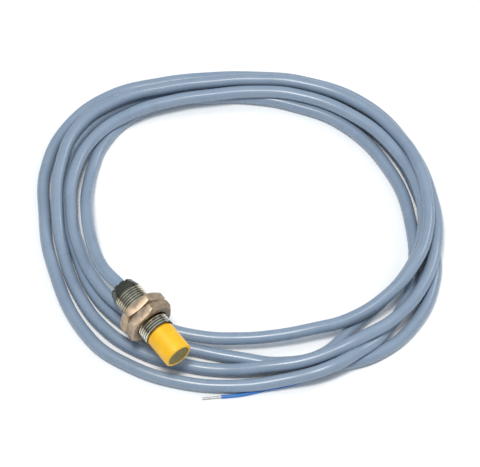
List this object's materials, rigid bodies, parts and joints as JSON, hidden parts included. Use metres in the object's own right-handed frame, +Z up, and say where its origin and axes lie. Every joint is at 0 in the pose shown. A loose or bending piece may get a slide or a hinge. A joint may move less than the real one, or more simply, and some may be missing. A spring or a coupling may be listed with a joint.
{
  "type": "inductive proximity sensor",
  "caption": "Short threaded-barrel inductive proximity sensor with a plastic sensing cap, two hex mounting nuts and its round cable wound in a loose flat coil.",
  "frame": {"origin": "centre of the sensing face, the flat front of the plastic cap", "axes": "+X out of the sensing face along the barrel's axis, +Z up from the surface that the cable coil lies on"},
  "size_m": [0.1575, 0.1529, 0.0288],
  "materials": {
    "nickel_thread": "nickel-plated turned thread",
    "nickel_nut": "nickel-plated, satin",
    "cap_yellow": "moulded thermoplastic, satin",
    "ring_smoke": "dark translucent moulded plastic",
    "seal_rubber": "matt",
    "ferrite": "fired ferrite, matt",
    "bobbin_plastic": "natural moulded",
    "copper": "enamelled copper",
    "holder_plastic": "moulded",
    "board_green": "glass epoxy with solder resist",
    "chip_black": "moulded epoxy package",
    "ceramic_tan": "fired ceramic",
    "led_clear": "clear epoxy",
    "solder": "bright solder",
    "potting": "cast resin",
    "clamp_steel": "zinc-plated",
    "cable_pvc": "grey-blue PVC, satin",
    "wire_blue": "PVC insulation",
    "wire_brown": "PVC insulation",
    "wire_black": "PVC insulation",
    "tinned_copper": "tinned strands"
  },
  "bodies": {
    "housing": {"threaded_barrel": "nickel_thread", "sensing_cap": "cap_yellow", "cap_seal_ring": "seal_rubber", "ferrite_core": "ferrite", "coil_bobbin": "bobbin_plastic", "coil_winding": "copper", "coil_leads": "copper", "core_holder": "holder_plastic", "circuit_board": "board_green", "oscillator_chip": "chip_black", "output_transistor": "chip_black", "chip_capacitors": "ceramic_tan", "chip_resistors": "chip_black", "protection_diode": "chip_black", "status_leds": "led_clear", "solder_joints": "solder", "inner_lead_brown": "wire_brown", "inner_lead_blue": "wire_blue", "inner_lead_black": "wire_black", "rear_resin": "potting", "end_ring": "ring_smoke", "cable_clamp_ring": "clamp_steel", "cable_grommet": "seal_rubber", "cable_jacket_end": "cable_pvc", "cable_lead": "cable_pvc", "cable_coil": "cable_pvc", "wire_blue": "wire_blue", "wire_brown": "wire_brown", "wire_black": "wire_black", "tinned_end_blue": "tinned_copper", "tinned_end_brown": "tinned_copper", "tinned_end_black": "tinned_copper"},
    "front_nut_body": {"front_nut": "nickel_nut"},
    "rear_nut_body": {"rear_nut": "nickel_nut"}
  },
  "joints": [
    {"name": "front_nut_travel", "type": "slide", "parent": "housing", "child": "front_nut_body", "axis": [1, 0, 0], "range_m": [0, 0.0045]},
    {"name": "rear_nut_travel", "type": "slide", "parent": "housing", "child": "rear_nut_body", "axis": [-1, 0, 0], "range_m": [0, 0.006]}
  ]
}
